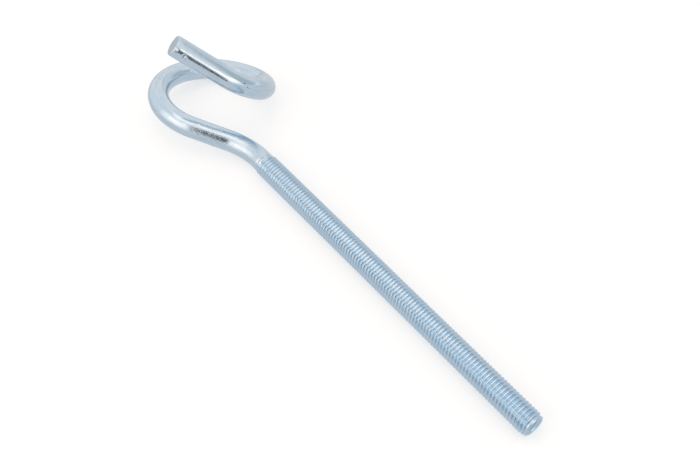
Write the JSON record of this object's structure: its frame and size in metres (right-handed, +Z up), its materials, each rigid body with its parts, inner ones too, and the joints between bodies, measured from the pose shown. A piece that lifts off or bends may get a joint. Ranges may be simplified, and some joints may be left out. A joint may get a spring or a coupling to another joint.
{
  "type": "pigtail screw hook",
  "caption": "Round steel wire bent into an open, rising pigtail loop with a straight tail, on a long shank with a fine metric machine thread.",
  "frame": {"origin": "on the shank's axis, at the upper end of the full thread", "axes": "+Y along the shank towards the loop; the hook lies at rest on a level floor 3.9 mm below the origin, with +Z up"},
  "size_m": [0.0424, 0.1868, 0.0413],
  "materials": {
    "zinc_plated_steel": "bright zinc plating with a faint blue tint, smooth satin gloss"
  },
  "bodies": {
    "root": {"screw_hook": "zinc_plated_steel"}
  },
  "joints": []
}
